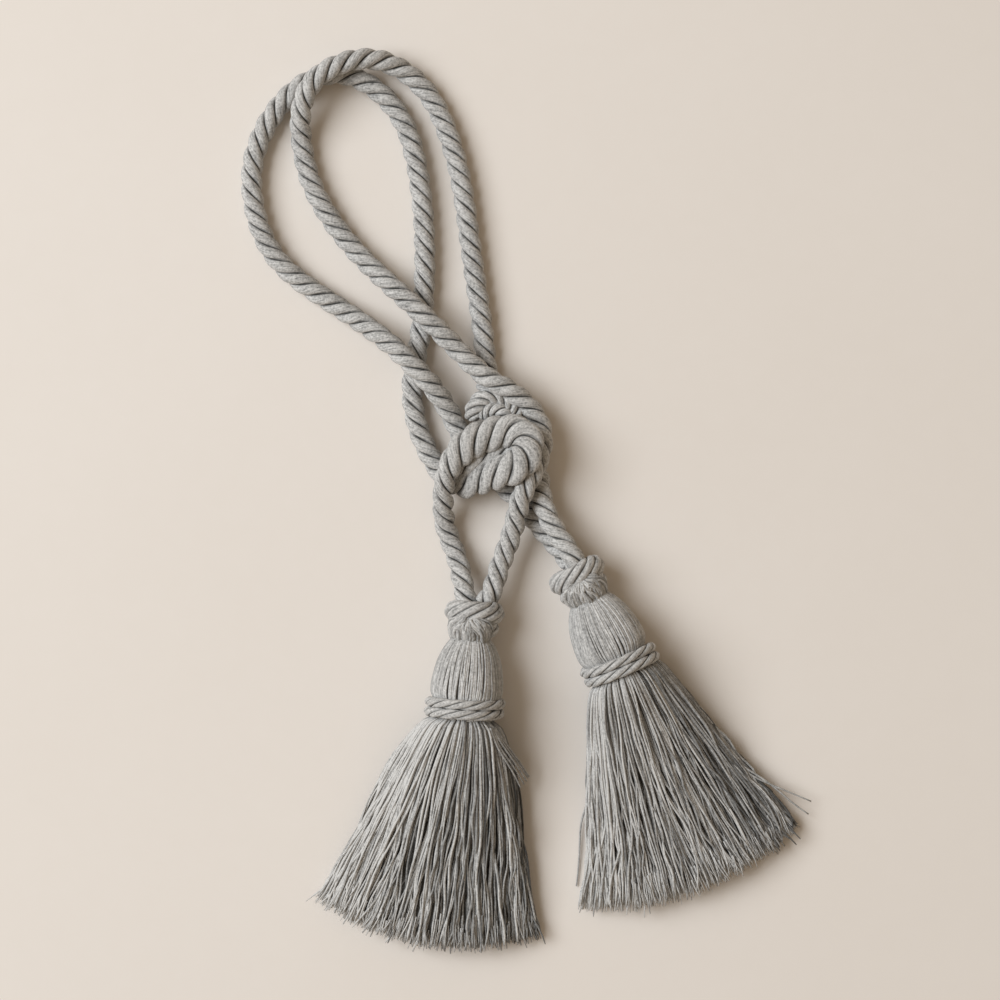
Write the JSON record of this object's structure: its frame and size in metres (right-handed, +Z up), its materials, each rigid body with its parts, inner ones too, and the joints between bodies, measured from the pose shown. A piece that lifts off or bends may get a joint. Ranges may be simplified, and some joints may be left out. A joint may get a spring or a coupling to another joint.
{
  "type": "knotted curtain tieback with tassels",
  "caption": "Curtain tieback of thick twisted grey cord, looped and knotted, with a bound yarn tassel at each end, lying flat.",
  "frame": {"origin": "on the surface the tieback lies on, under the middle of its bounding box", "axes": "+Z up off the surface, +Y along the length towards the looped end of the cords, +X across towards the right tassel"},
  "size_m": [0.255, 0.4136, 0.0377],
  "materials": {
    "twisted_cord": "matte twisted cotton, three strands",
    "knot_cord": "matte fine twisted cord",
    "tassel_yarn": "matte fine yarn with a slight sheen",
    "binding_cord": "matte two-ply cord"
  },
  "bodies": {
    "root": {"wrapping_cord": "twisted_cord", "through_cord": "twisted_cord", "left_tassel_top_knot": "knot_cord", "left_tassel_yarns": "tassel_yarn", "left_tassel_binding": "binding_cord", "right_tassel_top_knot": "knot_cord", "right_tassel_yarns": "tassel_yarn", "right_tassel_binding": "binding_cord"}
  },
  "joints": []
}
